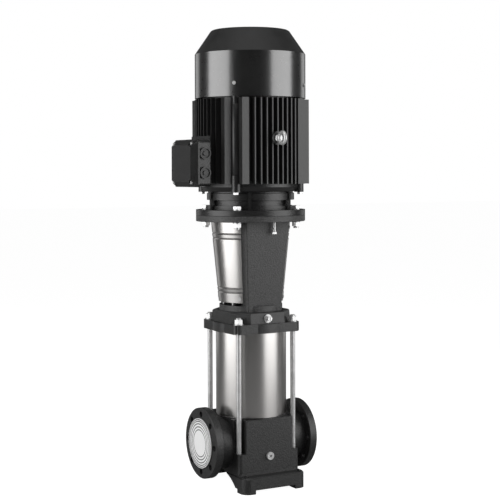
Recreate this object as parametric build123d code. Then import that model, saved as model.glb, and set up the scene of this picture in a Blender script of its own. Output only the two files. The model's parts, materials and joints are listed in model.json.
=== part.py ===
"""Vertical multistage in-line pump with a flange-mounted motor on top.

Frame: +Z up along the shaft, +X from the suction flange to the discharge flange, -Y towards the
side with the drain and priming plugs. The origin is on the floor, on the shaft's axis.
Lengths are in millimetres. Heights that end in _Z are measured from the floor.
"""

from build123d import *
from math import atan2, cos, degrees, radians, sin
import os

# ---- Clearances ------------------------------------------------------------------------------
SEAT = 0.3  # between a fixed piece and the seat that holds it, where they are round
RUNNING = 0.05  # radial, a turning shaft in its bush
TURNING_GAP = 1.5  # between a turning piece and a fixed one that it passes

# ---- Pipe connections (nominal 100 mm, PN 16) --------------------------------------------------
FACE_TO_FACE = 365.0
PORT_Z = 140.0
PORT_BORE = 100.0
FLANGE_OD = 220.0
FLANGE_THICK = 25.0
FLANGE_EDGE = 20.0  # from a hole's centre to the rim
FLANGE_PCD = FLANGE_OD - 2 * FLANGE_EDGE
SUCTION_HOLE = 19.0
DISCHARGE_HOLE = 18.0
FLANGE_HOLES = 8
FLANGE_NECK_OD = FLANGE_PCD - SUCTION_HOLE - 3
RAISED_FACE_OD = FLANGE_NECK_OD - 2
RAISED_FACE = 2.0
PORT_COVER_OD = RAISED_FACE_OD - 2
PORT_COVER_THICK = 3.0

# ---- Base casting ------------------------------------------------------------------------------
PLATE_X = 222.0
PLATE_Y = 316.0
PLATE_TOP_Z = 50.0
PLATE_CORNER = 26.0
ARCH_HALF = 108.0  # the arch that runs through the foot under the pipes: half its width on the floor
ARCH_RISE = 52.0
FOOT_HEIGHT = 12.0
FOOT_X = 40.0
FOOT_Y = 48.0
FOOT_HOLE = 14.0
FOOT_HOLES_X = 190.0
FOOT_HOLES_Y = 266.0
BLOCK_X = 216.0
BLOCK_Y = 236.0
ROD_SEAT_Z = 116.0
BODY_TOP_Z = 222.0
BODY_FACE = 164.0  # width of each flat face between the rod corners
CHAMBER_FLOOR_Z = 84.0
SUCTION_WELL_OD = 124.0
SUCTION_WELL_ID = 108.0
DRAIN_Z = 104.0

# ---- Sleeve and tie rods -----------------------------------------------------------------------
SLEEVE_OD = 225.0
SLEEVE_WALL = 3.0
SLEEVE_GROOVE = 8.0
ORING = 3.0
ROD_D = 16.0
ROD_PITCH = 195.0
ROD_NUT_AF = 24.0
ROD_NUT_HEIGHT = 14.0
ROD_WASHER = 3.0
ROD_ROOM = 2.0  # kept free round each rod, also where a neck comes near it

# ---- Pump head ---------------------------------------------------------------------------------
HEAD_BOTTOM_Z = 487.0
HEAD_RIM = 29.0
HEAD_TOP_Z = 552.0
HEAD_LUG = 20.0  # radius of the corners round the rods
HEAD_ROUND = 124.0  # radius of the rim between the corners
HEAD_BLOCK = 222.0  # width of the raised block
HEAD_CORNER_ROOM = 23.0  # how far the raised block's cut corners stay inside the rods, x and y together
HEAD_CHAMFER = HEAD_BLOCK - ROD_PITCH + HEAD_CORNER_ROOM
PRIMING_PLUG_D = 26.0
SEAL_BORE = 92.0

# ---- Hydraulic stack ---------------------------------------------------------------------------
STAGES = 3
STAGE_PITCH = 78.0
STACK_BOTTOM_Z = 228.0
CHAMBER_GAP = 10.5  # the ring-shaped way up between the chambers and the sleeve
CHAMBER_OD = SLEEVE_OD - 2 * SLEEVE_WALL - 2 * CHAMBER_GAP
CHAMBER_WALL = 2.5
IMPELLER_OD = 158.0
IMPELLER_EYE = 84.0
IMPELLER_WIDTH = 22.0
IMPELLER_BLADES = 7
GUIDE_VANES = 9
PLATE = 3.0
SHAFT_D = 32.0
HUB_D = 52.0
SHAFT_BOTTOM_Z = 128.0

# ---- Motor stool and coupling ------------------------------------------------------------------
STOOL_BOTTOM_Z = HEAD_TOP_Z
STOOL_RING_R = 101.0
STOOL_RING = 18.0
STOOL_FLANGE_Z = 835.0  # underside of the motor flange seat
STOOL_FLANGE = 20.0
STOOL_WALL = 11.0
STOOL_WALL_DEPTH = 38.0
STOOL_FOOT_HALF = 61.0
STOOL_FOOT_Y = 90.0
STOOL_HEAD_HALF = 79.0
STOOL_HEAD_Y = 113.0
GUARD_TOP_R = 127.0
GUARD_FOOT_R = 103.0
GUARD_SHEET = 1.5
GUARD_HALF_ANGLE = 47.0
COUPLING_OD = 104.0
COUPLING_BOTTOM_Z = 640.0
COUPLING_LENGTH = 150.0
COUPLING_SPLIT = 3.0
COUPLING_BOLT = 10.0

# ---- Motor -------------------------------------------------------------------------------------
MOTOR_FLANGE_OD = 350.0
MOTOR_FLANGE = 17.0
MOTOR_SPIGOT_OD = 250.0
MOTOR_SPIGOT = 5.0
MOTOR_PCD = 300.0
MOTOR_BOLT = 16.0
MOTOR_HOLE = 18.5
MOTOR_SHAFT_D = 48.0
FRAME_BOTTOM_Z = 954.0
FRAME_TOP_Z = 1222.0
FRAME_BORE = 290.0
FRAME_OD = 306.0
FIN_TIP_R = 178.0
FIN_THICK = 4.0
FIN_PITCH = 18.0
FINS_PER_SIDE = 9
PAD_HALF = 12.0
PAD_AT = 100.0
PAD_FACE = 152.0
ROTOR_OD = 186.0
CORE_LENGTH = 170.0
COWL_OD = 355.0
COWL_SHEET = 2.0
COWL_BOTTOM_Z = 1226.0
COWL_SHOULDER_Z = 1367.0
COWL_TOP_Z = 1444.0
COWL_TOP_R = 124.0
COWL_GRILLE_RINGS = 5
FAN_OD = 280.0
FAN_BLADES = 8
BOX_WIDTH = 146.0
BOX_HEIGHT = 142.0
BOX_BOTTOM_Z = 948.0
BOX_FACE_X = -222.0
BOX_WALL = 5.0
LID_DEPTH = 24.0
LID_OVERHANG_Y = 11.0
LID_OVERHANG_Z = 3.0
BOX_PAD_INSET = 16.0
GLAND_D = 37.0
GLAND_PITCH = 60.0
EYE_Z = 1096.0
EYE_RING_R = 18.0
EYE_WIRE = 10.0

# ---- Fixings and inner sizes, by piece ---------------------------------------------------------
# Base
DRAIN_THREAD_R = 8.0
PLUG_HEAD_R = 12.0

# Pump head
STOOL_SCREW_R = 84.0
STOOL_SCREW_ANGLES = (-22.0, 22.0, 158.0, 202.0)
STOOL_SCREW = 10.0
VENT_R = 5.0

# Stool
LANDING = 10.0
LANDING_ANGLE = 46.0
LANDING_SPAN = 9.0
JACK_R = 4.0
JACK_X = 16.0
JACK_Y = -126.0
GUARD_SCREW = 6.0

# Coupling guards
GUARD_BEAD = 2.0
GUARD_BEADS_Z = (612.0, 625.0, 782.0, 797.0)

# Coupling
COUPLING_BOLT_HEAD = 7.0

# Motor shields and bolts
BEARING_OD = 120.0
BEARING_ID = 55.0
BEARING_WIDTH = 29.0
FRONT_BEARING_Z = 906.0
SHIELD_LUG_R = 160.0
SHIELD_RIBS = 6
FLANGE_WASHER_R = 13.0

# Motor frame
FAN_SEAT_R = 20.0
BALL_R = 9.5
BALLS = 8

# Fan and cowl
COWL_SCREW_Z = 1266.0

# ---- Places worked out from the above ----------------------------------------------------------
AXIS_ROD = ROD_PITCH / 2
HEAD_RIM_Z = HEAD_BOTTOM_Z + HEAD_RIM
PLATE_Z = STOOL_FLANGE_Z + STOOL_FLANGE  # where the stool and the motor meet
SHIELD_FACE_Z = PLATE_Z + MOTOR_FLANGE
SLEEVE_BOTTOM_Z = BODY_TOP_Z - SLEEVE_GROOVE + ORING
SLEEVE_TOP_Z = HEAD_BOTTOM_Z + SLEEVE_GROOVE - ORING
STACK_TOP_Z = STACK_BOTTOM_Z + STAGES * STAGE_PITCH
COUPLING_TOP_Z = COUPLING_BOTTOM_Z + COUPLING_LENGTH
COUPLING_MIDDLE_Z = COUPLING_BOTTOM_Z + COUPLING_LENGTH / 2
CORE_BOTTOM_Z = (FRAME_BOTTOM_Z + FRAME_TOP_Z - CORE_LENGTH) / 2
CORE_TOP_Z = CORE_BOTTOM_Z + CORE_LENGTH
REAR_SHIELD_Z = FRAME_TOP_Z
FAN_Z = COWL_BOTTOM_Z + 42.0
BOX_MIDDLE_Z = BOX_BOTTOM_Z + BOX_HEIGHT / 2
CORNERS = [(sx, sy) for sx in (-1, 1) for sy in (-1, 1)]
DIAGONALS = [45.0 + 90.0 * k for k in range(4)]
PRIMING_Z = HEAD_RIM_Z + (HEAD_TOP_Z - HEAD_RIM_Z) / 2 - 2
PLUG_FACE_Y = -HEAD_BLOCK / 2 + 4
GUARD_SCREW_HEIGHTS = (STOOL_BOTTOM_Z + 42.0, STOOL_FLANGE_Z - 20.0)
GUARD_BOTTOM_Z = STOOL_BOTTOM_Z + 28.0
GUARD_TOP_Z = STOOL_FLANGE_Z - 2.0
COUPLING_BOLT_X = MOTOR_SHAFT_D / 2 + COUPLING_BOLT / 2 + 9
COUPLING_BOLT_SEAT = COUPLING_OD / 2 - 26
REAR_BEARING_Z = REAR_SHIELD_Z - 2.0
BALL_CIRCLE_R = (BEARING_OD + BEARING_ID) / 4
GLAND_X = (BOX_FACE_X - FIN_TIP_R - 4) / 2
LID_X = BOX_FACE_X - 1.5


# ---- Small makers ------------------------------------------------------------------------------
ON_BASE = (Align.CENTER, Align.CENTER, Align.MIN)


def rod(radius, bottom, top, x=0.0, y=0.0):
    """An upright cylinder between two heights."""
    return Pos(x, y, bottom) * Cylinder(radius, top - bottom, align=ON_BASE)


def ring(outer, inner, bottom, top, x=0.0, y=0.0):
    """An upright tube, given by its radii and heights."""
    return rod(outer, bottom, top, x, y) - rod(inner, bottom - 1, top + 1, x, y)


def block(x0, x1, y0, y1, z0, z1):
    """A box between two corners."""
    return Pos(x0, y0, z0) * Box(x1 - x0, y1 - y0, z1 - z0, align=(Align.MIN, Align.MIN, Align.MIN))


def prism(outline, bottom, height):
    """A flat outline pulled up from a height."""
    return Pos(0, 0, bottom) * extrude(outline, amount=height)


def turned(*points):
    """A solid of revolution about Z from (radius, z) corners."""
    return revolve(Plane.XZ * make_face(Polyline(*points, close=True)), axis=Axis.Z)


def along_x(radius, x0, x1, y=0.0, z=0.0):
    """A cylinder lying along X."""
    return Pos(x0, y, z) * Rot(0, 90, 0) * Cylinder(radius, x1 - x0, align=ON_BASE)


def along_y(radius, y0, y1, x=0.0, z=0.0):
    """A cylinder lying along Y."""
    return Pos(x, y1, z) * Rot(90, 0, 0) * Cylinder(radius, y1 - y0, align=ON_BASE)


def hexagon(across_flats, bottom, height):
    """An upright hexagonal prism on the Z axis, with its two ends chamfered as a nut's are."""
    corner = across_flats / 2 / cos(radians(30))
    body = prism(RegularPolygon(corner, 6), bottom, height)
    edge = (corner - across_flats / 2) * 0.6
    return body & turned(
        (0, bottom), (corner - edge, bottom), (corner, bottom + edge), (corner, bottom + height - edge),
        (corner - edge, bottom + height), (0, bottom + height),
    )


def polar(radius, degrees):
    """The point at a radius and an angle from +X."""
    return radius * cos(radians(degrees)), radius * sin(radians(degrees))


def swept_blade(inner, outer, turn, thick, bottom, height):
    """One blade that curves from a hub radius out to a tip radius, turning back by an angle."""
    start, end = polar(inner, 0), polar(outer, turn)
    middle = polar((inner + outer) / 2, turn * 0.32)
    return prism(trace(ThreePointArc(start, middle, end), thick), bottom, height)


def around(shape, count, first=0.0):
    """Copies of a shape, spaced evenly round Z."""
    return [Rot(0, 0, first + 360.0 / count * k) * shape for k in range(count)]


def group(pieces):
    """Separate solids that share one node."""
    solids = []
    for piece in pieces:
        solids.extend(piece.solids())
    return Compound(children=solids)


# ---- Base --------------------------------------------------------------------------------------
def plate_outline():
    """The foot plate: a rectangle with rounded corners."""
    return RectangleRounded(PLATE_X, PLATE_Y, PLATE_CORNER)


def foot_arch():
    """The round-topped passage under the pipes, as the solid that is cut away."""
    radius = (ARCH_HALF**2 + ARCH_RISE**2) / (2 * ARCH_RISE)
    return along_x(radius, -PLATE_X, PLATE_X, z=ARCH_RISE - radius)


def pipe_flange(side):
    """One cast pipe flange with its raised face, in place."""
    face = FACE_TO_FACE / 2
    hole = DISCHARGE_HOLE if side > 0 else SUCTION_HOLE
    disc = along_x(FLANGE_OD / 2, face - RAISED_FACE - FLANGE_THICK, face - RAISED_FACE, z=PORT_Z)
    disc = chamfer(disc.edges().filter_by(GeomType.CIRCLE), 1.5)
    disc += along_x(RAISED_FACE_OD / 2, face - RAISED_FACE - 1, face, z=PORT_Z)
    for k in range(FLANGE_HOLES):
        y, z = polar(FLANGE_PCD / 2, 360.0 / FLANGE_HOLES * k)
        disc -= along_x(hole / 2, face - FLANGE_THICK - 6, face + 1, y=y, z=PORT_Z + z)
    return disc if side > 0 else mirror(disc, about=Plane.YZ)


def port_neck(side):
    """The flared neck between a flange and the body, solid."""
    root = BLOCK_X / 2 - 14
    end = FACE_TO_FACE / 2 - RAISED_FACE - FLANGE_THICK
    neck = loft([
        Plane((root, 0, PORT_Z - 4), z_dir=(1, 0, 0)) * Circle(FLANGE_NECK_OD / 2 + 5),
        Plane((end + 1, 0, PORT_Z), z_dir=(1, 0, 0)) * Circle(FLANGE_NECK_OD / 2),
    ])
    return neck if side > 0 else mirror(neck, about=Plane.YZ)


def sleeve_groove(bottom, top):
    """The ring-shaped groove that an end of the sleeve stands in."""
    return ring(SLEEVE_OD / 2 + SEAT, SLEEVE_OD / 2 - SLEEVE_WALL - SEAT, bottom, top)


def base_casting():
    plate = prism(plate_outline(), FOOT_HEIGHT, PLATE_TOP_Z - FOOT_HEIGHT)
    plate = chamfer(plate.faces().sort_by(Axis.Z)[-1].edges(), 4)
    for sx, sy in CORNERS:
        outer = (sx * PLATE_X, sy * PLATE_Y)
        inner = (sx * (PLATE_X / 2 - FOOT_X), sy * (PLATE_Y / 2 - FOOT_Y))
        across, along = sorted((outer[0], inner[0])), sorted((outer[1], inner[1]))
        foot = prism(plate_outline(), 0, FOOT_HEIGHT + 1)
        foot &= block(*across, *along, 0, FOOT_HEIGHT + 1)
        plate += foot
    lower = prism(RectangleRounded(BLOCK_X, BLOCK_Y, 12), PLATE_TOP_Z - 1, ROD_SEAT_Z - PLATE_TOP_Z + 1)
    lower += loft([
        Pos(0, 0, PLATE_TOP_Z - 2) * RectangleRounded(BLOCK_X - 4, BLOCK_Y + 16, 16),
        Pos(0, 0, PLATE_TOP_Z + 8) * RectangleRounded(BLOCK_X - 8, BLOCK_Y - 2, 12),
    ])
    upper = rod(SLEEVE_OD / 2 + 5, ROD_SEAT_Z - 1, BODY_TOP_Z)
    upper += block(-BODY_FACE / 2, BODY_FACE / 2, -BLOCK_Y / 2, BLOCK_Y / 2, ROD_SEAT_Z - 1, BODY_TOP_Z - 3)
    upper += block(-BLOCK_X / 2, BLOCK_X / 2, -BODY_FACE / 2, BODY_FACE / 2, ROD_SEAT_Z - 1, BODY_TOP_Z - 3)
    body = plate + lower + upper - foot_arch()
    for side in (-1, 1):
        body += port_neck(side) + pipe_flange(side)
    # the discharge ring round the suction well, and the duct that crosses it to the well
    cavity = ring(SLEEVE_OD / 2 - 10, SUCTION_WELL_OD / 2, CHAMBER_FLOOR_Z, BODY_TOP_Z + 1)
    cavity -= along_x(PORT_BORE / 2 + 8, -SLEEVE_OD, 0, z=PORT_Z)
    body -= cavity
    body -= rod(SUCTION_WELL_ID / 2, CHAMBER_FLOOR_Z, BODY_TOP_Z + 1)
    body -= rod(SLEEVE_OD / 2 - 10, BODY_TOP_Z - 14, BODY_TOP_Z + 1)
    body -= rod(SLEEVE_OD / 2 + SEAT, BODY_TOP_Z, HEAD_BOTTOM_Z)
    body -= along_x(PORT_BORE / 2, -FACE_TO_FACE, 0, z=PORT_Z)
    body -= along_x(PORT_BORE / 2, SUCTION_WELL_OD / 2 + 6, FACE_TO_FACE, z=PORT_Z)
    # seats: sleeve groove, tie rods, foot bolts, drain
    body -= sleeve_groove(BODY_TOP_Z - SLEEVE_GROOVE, BODY_TOP_Z + 1)
    for sx, sy in CORNERS:
        body -= rod(ROD_D / 2, ROD_SEAT_Z - 28, ROD_SEAT_Z + 1, sx * AXIS_ROD, sy * AXIS_ROD)
        body -= rod(ROD_D / 2 + ROD_ROOM, ROD_SEAT_Z, BODY_TOP_Z + FLANGE_OD, sx * AXIS_ROD, sy * AXIS_ROD)
        body -= rod(FOOT_HOLE / 2, -1, PLATE_TOP_Z + 1, sx * FOOT_HOLES_X / 2, sy * FOOT_HOLES_Y / 2)
        body -= rod(
            FOOT_HOLE / 2 + 5, PLATE_TOP_Z - 3, ROD_SEAT_Z - 40, sx * FOOT_HOLES_X / 2, sy * FOOT_HOLES_Y / 2
        )
    body -= along_y(DRAIN_THREAD_R, -BLOCK_Y / 2 - 1, -SLEEVE_OD / 2 + 16, z=DRAIN_Z)
    return body


def drain_plug():
    """A socket-headed plug with its stem in the drain hole."""
    face = -BLOCK_Y / 2
    plug = along_y(PLUG_HEAD_R, face - 8, face, z=DRAIN_Z)
    plug += along_y(DRAIN_THREAD_R, face - 1, face + 12, z=DRAIN_Z)
    return plug - Pos(0, face - 9, DRAIN_Z) * Rot(-90, 0, 0) * extrude(RegularPolygon(5, 6), amount=6)


def suction_cover():
    """The thin transport cover on the suction face, with a short spigot that centres it in the port."""
    face = -FACE_TO_FACE / 2
    disc = along_x(PORT_COVER_OD / 2, face - PORT_COVER_THICK, face, z=PORT_Z)
    spigot = along_x(PORT_BORE / 2 - 1, face - 1, face + 10, z=PORT_Z)
    spigot -= along_x(PORT_BORE / 2 - 3, face - 0.5, face + 11, z=PORT_Z)
    return disc + spigot


# ---- Sleeve, rods ------------------------------------------------------------------------------
def outer_sleeve():
    return ring(SLEEVE_OD / 2, SLEEVE_OD / 2 - SLEEVE_WALL, SLEEVE_BOTTOM_Z, SLEEVE_TOP_Z)


def sleeve_oring(bottom):
    """A square-cut sealing ring at an end of the sleeve."""
    return ring(SLEEVE_OD / 2, SLEEVE_OD / 2 - SLEEVE_WALL, bottom, bottom + ORING)


def tie_rods():
    top = HEAD_RIM_Z + ROD_WASHER + ROD_NUT_HEIGHT + 5
    rods = []
    for sx, sy in CORNERS:
        shank = rod(ROD_D / 2, ROD_SEAT_Z - 26, top, sx * AXIS_ROD, sy * AXIS_ROD)
        rods.append(chamfer(shank.edges().filter_by(GeomType.CIRCLE), 1.2))
    return group(rods)


def tie_rod_washers():
    return group([
        ring(ROD_NUT_AF / 2 + 3, ROD_D / 2, HEAD_RIM_Z, HEAD_RIM_Z + ROD_WASHER, sx * AXIS_ROD, sy * AXIS_ROD)
        for sx, sy in CORNERS
    ])


def tie_rod_nuts():
    nut = hexagon(ROD_NUT_AF, HEAD_RIM_Z + ROD_WASHER, ROD_NUT_HEIGHT)
    nut -= rod(ROD_D / 2, HEAD_RIM_Z, HEAD_RIM_Z + 40)
    return group([Pos(sx * AXIS_ROD, sy * AXIS_ROD, 0) * nut for sx, sy in CORNERS])


# ---- Pump head ---------------------------------------------------------------------------------
def head_block_outline():
    half, cut = HEAD_BLOCK / 2, HEAD_BLOCK / 2 - HEAD_CHAMFER
    points = [(cut, -half), (half, -cut), (half, cut), (cut, half), (-cut, half), (-half, cut), (-half, -cut),
              (-cut, -half)]
    return make_face(Polyline(*points, close=True))


def pump_head():
    side = ROD_PITCH + 2 * HEAD_LUG
    rim = prism(RectangleRounded(side, side, HEAD_LUG) + Circle(HEAD_ROUND), HEAD_BOTTOM_Z, HEAD_RIM)
    height = HEAD_TOP_Z - HEAD_RIM_Z + 1
    raised = extrude(Pos(0, 0, HEAD_RIM_Z - 1) * head_block_outline(), amount=height, taper=5)
    head = rim + raised
    head = chamfer(head.faces().sort_by(Axis.Z)[-1].edges(), 3)
    # the ring-shaped room above the stack, the seal bore and the sleeve groove
    head -= rod(SLEEVE_OD / 2 - 10, HEAD_BOTTOM_Z - 1, HEAD_RIM_Z)
    head -= rod(SEAL_BORE / 2, HEAD_BOTTOM_Z, HEAD_TOP_Z + 1)
    head -= sleeve_groove(HEAD_BOTTOM_Z - 1, HEAD_BOTTOM_Z + SLEEVE_GROOVE)
    for sx, sy in CORNERS:
        head -= rod(ROD_D / 2 + 0.75, HEAD_BOTTOM_Z - 1, HEAD_RIM_Z + 1, sx * AXIS_ROD, sy * AXIS_ROD)
        # the slot that a rod is laid in from the outside
        slot = block(0, 60, -4.5, 4.5, HEAD_BOTTOM_Z - 1, HEAD_RIM_Z + 1)
        turn = {(-1, -1): 225, (1, -1): 315, (-1, 1): 135, (1, 1): 45}[(sx, sy)]
        head -= Pos(sx * AXIS_ROD, sy * AXIS_ROD, 0) * Rot(0, 0, turn) * slot
    for angle in STOOL_SCREW_ANGLES:
        x, y = polar(STOOL_SCREW_R, angle)
        head -= rod(STOOL_SCREW / 2, HEAD_TOP_Z - 22, HEAD_TOP_Z + 1, x, y)
    head -= along_y(PRIMING_PLUG_D / 2 + 2, -HEAD_BLOCK, PLUG_FACE_Y, z=PRIMING_Z)
    head -= along_y(PRIMING_PLUG_D / 2 - 4, -HEAD_BLOCK, PLUG_FACE_Y + 12, z=PRIMING_Z)
    head -= along_y(VENT_R, PLUG_FACE_Y, 0, z=PRIMING_Z)
    return head


def priming_plug():
    """The filling plug on the head, drilled through for the vent screw."""
    z = PRIMING_Z
    collar = along_y(PRIMING_PLUG_D / 2, PLUG_FACE_Y - 5, PLUG_FACE_Y, z=z)
    stem = along_y(PRIMING_PLUG_D / 2 - 4, PLUG_FACE_Y - 1, PLUG_FACE_Y + 12, z=z)
    flats = Pos(0, PLUG_FACE_Y - 5, z) * Rot(90, 0, 0) * extrude(RegularPolygon(11, 6), amount=6)
    return collar + stem + flats - along_y(VENT_R + RUNNING, PLUG_FACE_Y - 20, PLUG_FACE_Y + 30, z=z)


def vent_screw():
    """The vent screw in the filling plug, with a cross hole for a key."""
    z = PRIMING_Z
    stem = along_y(VENT_R, PLUG_FACE_Y - 17, PLUG_FACE_Y + 10, z=z)
    knob = along_y(7.5, PLUG_FACE_Y - 18, PLUG_FACE_Y - 11.5, z=z)
    slot = block(-1.2, 1.2, PLUG_FACE_Y - 19, PLUG_FACE_Y - 15, z - 9, z + 9)
    return stem + knob - slot


# ---- Hydraulic stack ---------------------------------------------------------------------------
def suction_guide():
    """The bell that leads water from the suction well into the first stage."""
    well = SUCTION_WELL_ID / 2 - SEAT
    bell = turned(
        (well - 4, BODY_TOP_Z - 30), (well, BODY_TOP_Z - 30), (well, BODY_TOP_Z - 13.7),
        (CHAMBER_OD / 2, BODY_TOP_Z - 2), (CHAMBER_OD / 2, STACK_BOTTOM_Z), (well - 6, STACK_BOTTOM_Z),
        (well - 6, BODY_TOP_Z - 8), (well - 4, BODY_TOP_Z - 14),
    )
    arm = block(HUB_D / 2, well - 3, -2, 2, BODY_TOP_Z - 30, BODY_TOP_Z - 10)
    hub = ring(HUB_D / 2 + 1, SHAFT_D / 2 + 8, BODY_TOP_Z - 30, BODY_TOP_Z - 8)
    guide = bell + hub
    for piece in around(arm, 3):
        guide += piece
    return guide


def lower_bush():
    return ring(SHAFT_D / 2 + 8, SHAFT_D / 2 + RUNNING, BODY_TOP_Z - 30, BODY_TOP_Z - 8)


def stage_chamber(bottom):
    """One stage's cup, with its return vanes: its floor has the opening for the impeller's eye."""
    wall = ring(CHAMBER_OD / 2, CHAMBER_OD / 2 - CHAMBER_WALL, bottom, bottom + STAGE_PITCH)
    floor = ring(CHAMBER_OD / 2, IMPELLER_EYE / 2 + 7, bottom, bottom + PLATE)
    return wall + floor + guide_vanes(bottom)


def neck_ring(bottom):
    return ring(IMPELLER_EYE / 2 + 7, IMPELLER_EYE / 2 + TURNING_GAP / 2, bottom, bottom + PLATE + 2)


def guide_vanes(bottom):
    """The return guide above an impeller: a plate with vanes that lead the water back in to the shaft."""
    level = bottom + PLATE + 8 + IMPELLER_WIDTH + 4
    outer = CHAMBER_OD / 2 - CHAMBER_WALL
    plate = ring(outer - 10, HUB_D / 2 + 4, level, level + PLATE)
    vane_top = bottom + STAGE_PITCH
    vane_foot = level + PLATE - 0.5
    vane = swept_blade(HUB_D / 2 + 8, outer + 0.5, -58, 3, vane_foot, vane_top - vane_foot)
    guide = plate
    for blade in around(vane, GUIDE_VANES):
        guide += blade
    return guide


def impeller(bottom):
    """A closed impeller: skirt, shroud, swept blades and hub disc."""
    z = bottom + PLATE + 8
    shaft = SHAFT_D / 2
    shroud = ring(IMPELLER_OD / 2, IMPELLER_EYE / 2 - 3, z, z + 2.5)
    skirt = ring(IMPELLER_EYE / 2, IMPELLER_EYE / 2 - 3, bottom + 1, z + 1)
    disc = ring(IMPELLER_OD / 2, shaft, z + IMPELLER_WIDTH - 2.5, z + IMPELLER_WIDTH)
    hub = ring(HUB_D / 2, shaft, z, z + IMPELLER_WIDTH + 8)
    wheel = shroud + skirt + disc + hub
    one = swept_blade(HUB_D / 2 - 1, IMPELLER_OD / 2, 62, 3, z + 1, IMPELLER_WIDTH - 2)
    for blade in around(one, IMPELLER_BLADES):
        wheel += blade
    return wheel


def impeller_spacers():
    """The shaft sleeves that space the impellers, and the nut below the first."""
    pieces = []
    for k in range(STAGES):
        top_of_hub = STACK_BOTTOM_Z + k * STAGE_PITCH + PLATE + 8 + IMPELLER_WIDTH + 8
        next_hub = top_of_hub + STAGE_PITCH - IMPELLER_WIDTH - 8
        pieces.append(ring(SHAFT_D / 2 + 5, SHAFT_D / 2, top_of_hub, next_hub))
    first = STACK_BOTTOM_Z + PLATE + 8
    pieces.append(ring(SHAFT_D / 2 + 7, SHAFT_D / 2, first - 12, first))
    return group(pieces)


def discharge_cup():
    """The cup on top of the stack, which turns the flow out to the ring-shaped gap."""
    cup = ring(CHAMBER_OD / 2, SHAFT_D / 2 + 14, STACK_TOP_Z, STACK_TOP_Z + 4)
    cup += ring(SHAFT_D / 2 + 20, SHAFT_D / 2 + 14, STACK_TOP_Z, STACK_TOP_Z + 26)
    for k in range(6):
        x, y = polar(CHAMBER_OD / 2 - 26, 60 * k)
        cup -= rod(11, STACK_TOP_Z - 1, STACK_TOP_Z + 5, x, y)
    return cup


def stack_straps():
    """Two flat straps that clamp the chambers between the suction guide and the discharge cup."""
    reach = CHAMBER_OD / 2
    strap = block(reach, reach + 2, -9, 9, BODY_TOP_Z - 2, STACK_TOP_Z + 4)
    strap += block(reach - 8, reach + 2, -9, 9, STACK_TOP_Z + 4, STACK_TOP_Z + 6)
    return group([strap, mirror(strap, about=Plane.YZ)])


def pump_shaft():
    top = COUPLING_MIDDLE_Z - 4
    shaft = rod(SHAFT_D / 2, SHAFT_BOTTOM_Z, top)
    return chamfer(shaft.edges().filter_by(GeomType.CIRCLE), 1.5)


# ---- Shaft seal --------------------------------------------------------------------------------
def seal_gland():
    """The fixed part of the cartridge seal, with its clamping flange on the head."""
    body = ring(SEAL_BORE / 2 - SEAT, SHAFT_D / 2 + 12, HEAD_TOP_Z - 34, HEAD_TOP_Z + 2)
    return body + ring(SEAL_BORE / 2 + 12, SHAFT_D / 2 + 12, HEAD_TOP_Z, HEAD_TOP_Z + 12)


def seal_sleeve():
    """The part of the cartridge seal that turns with the shaft."""
    sleeve = ring(SHAFT_D / 2 + 6, SHAFT_D / 2, HEAD_TOP_Z - 40, HEAD_TOP_Z + 26)
    collar = ring(SHAFT_D / 2 + 16, SHAFT_D / 2 + 5, HEAD_TOP_Z + 14, HEAD_TOP_Z + 26)
    return sleeve + collar + ring(SHAFT_D / 2 + 10, SHAFT_D / 2 + 5, HEAD_TOP_Z - 40, HEAD_TOP_Z - 20)


# ---- Stool -------------------------------------------------------------------------------------
def wall_section(half, front, depth, grow=0.0):
    """A stool wall's outline at one height: half its width, its outer face and its depth."""
    return Pos(0, -front + depth / 2) * Rectangle(2 * (half - grow), depth)


def stool_wall():
    """The front wall: a channel, open towards the shaft, that widens upwards."""
    low, high = STOOL_BOTTOM_Z, STOOL_FLANGE_Z + 1
    shell = loft([
        Pos(0, 0, low) * wall_section(STOOL_FOOT_HALF, STOOL_FOOT_Y, STOOL_WALL_DEPTH),
        Pos(0, 0, high) * wall_section(STOOL_HEAD_HALF, STOOL_HEAD_Y, STOOL_WALL_DEPTH),
    ])
    corners = shell.edges().filter_by(lambda e: abs(e.center().Y) > STOOL_FOOT_Y and e.length > high - low - 1)
    shell = fillet(corners, 5)
    hollow_floor = STOOL_BOTTOM_Z + STOOL_RING
    share = STOOL_RING / (high - low)
    half = STOOL_FOOT_HALF + (STOOL_HEAD_HALF - STOOL_FOOT_HALF) * share
    front = STOOL_FOOT_Y + (STOOL_HEAD_Y - STOOL_FOOT_Y) * share
    depth = STOOL_WALL_DEPTH + 1
    hollow = loft([
        Pos(0, STOOL_WALL, hollow_floor) * wall_section(half, front, depth, STOOL_WALL),
        Pos(0, STOOL_WALL, high) * wall_section(STOOL_HEAD_HALF, STOOL_HEAD_Y, depth, STOOL_WALL),
    ])
    return shell - hollow


def guard_landings():
    """The four strips beside the stool's walls that the guards are screwed to."""
    low, high = GUARD_BOTTOM_Z, STOOL_FLANGE_Z + 1
    inside = GUARD_SHEET / cos(atan2(GUARD_TOP_R - GUARD_FOOT_R, GUARD_TOP_Z - GUARD_BOTTOM_Z))
    bottom, top = guard_radius(low) - inside, guard_radius(high) - inside
    cone = turned((bottom, low), (top, high), (top - LANDING, high), (bottom - LANDING, low))
    strips = None
    for middle in (LANDING_ANGLE, 180 - LANDING_ANGLE, 180 + LANDING_ANGLE, 360 - LANDING_ANGLE):
        reach = GUARD_TOP_R * 2
        corners = [(0, 0), polar(reach, middle - LANDING_SPAN), polar(reach, middle + LANDING_SPAN)]
        strip = cone & prism(make_face(Polyline(*corners, close=True)), low - 1, high - low + 2)
        strips = strip if strips is None else strips + strip
    return strips


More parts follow.
